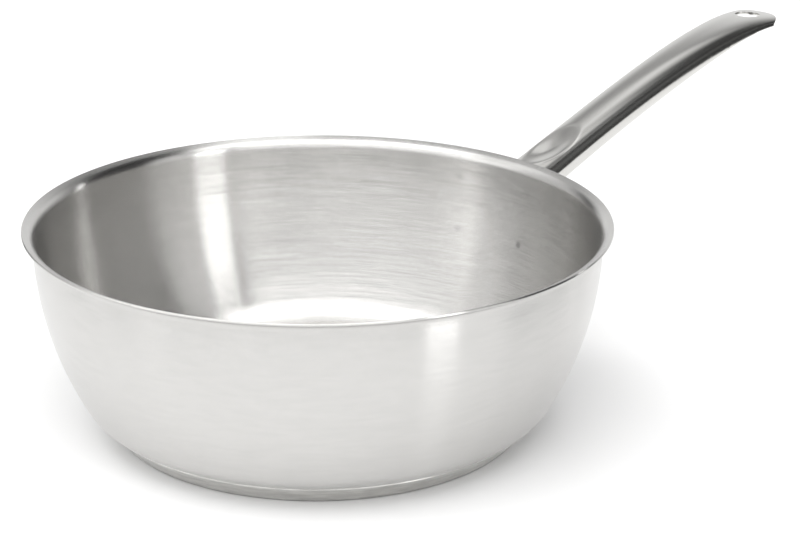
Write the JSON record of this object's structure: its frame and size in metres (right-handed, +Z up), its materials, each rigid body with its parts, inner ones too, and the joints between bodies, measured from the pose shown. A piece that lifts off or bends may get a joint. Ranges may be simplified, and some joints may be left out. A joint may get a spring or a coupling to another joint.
{
  "type": "saucier pan",
  "caption": "Stainless steel saucier pan with curved sides, a flared pouring rim, a capped heat-spreading base and one long hollow handle with a hanging hole.",
  "frame": {"origin": "middle of the flat underside, on the bowl's axis", "axes": "+Z up out of the bowl, +X along the handle away from the bowl"},
  "size_m": [0.4671, 0.251, 0.1224],
  "materials": {
    "brushed_bowl_steel": "satin, brushed round the axis",
    "cap_steel": "satin",
    "polished_handle_steel": "polished",
    "core_aluminium": "plain"
  },
  "bodies": {
    "root": {"bowl": "brushed_bowl_steel", "base_core": "core_aluminium", "base_cap": "cap_steel", "handle_plate": "brushed_bowl_steel", "handle_weld": "brushed_bowl_steel", "handle": "polished_handle_steel"}
  },
  "joints": []
}
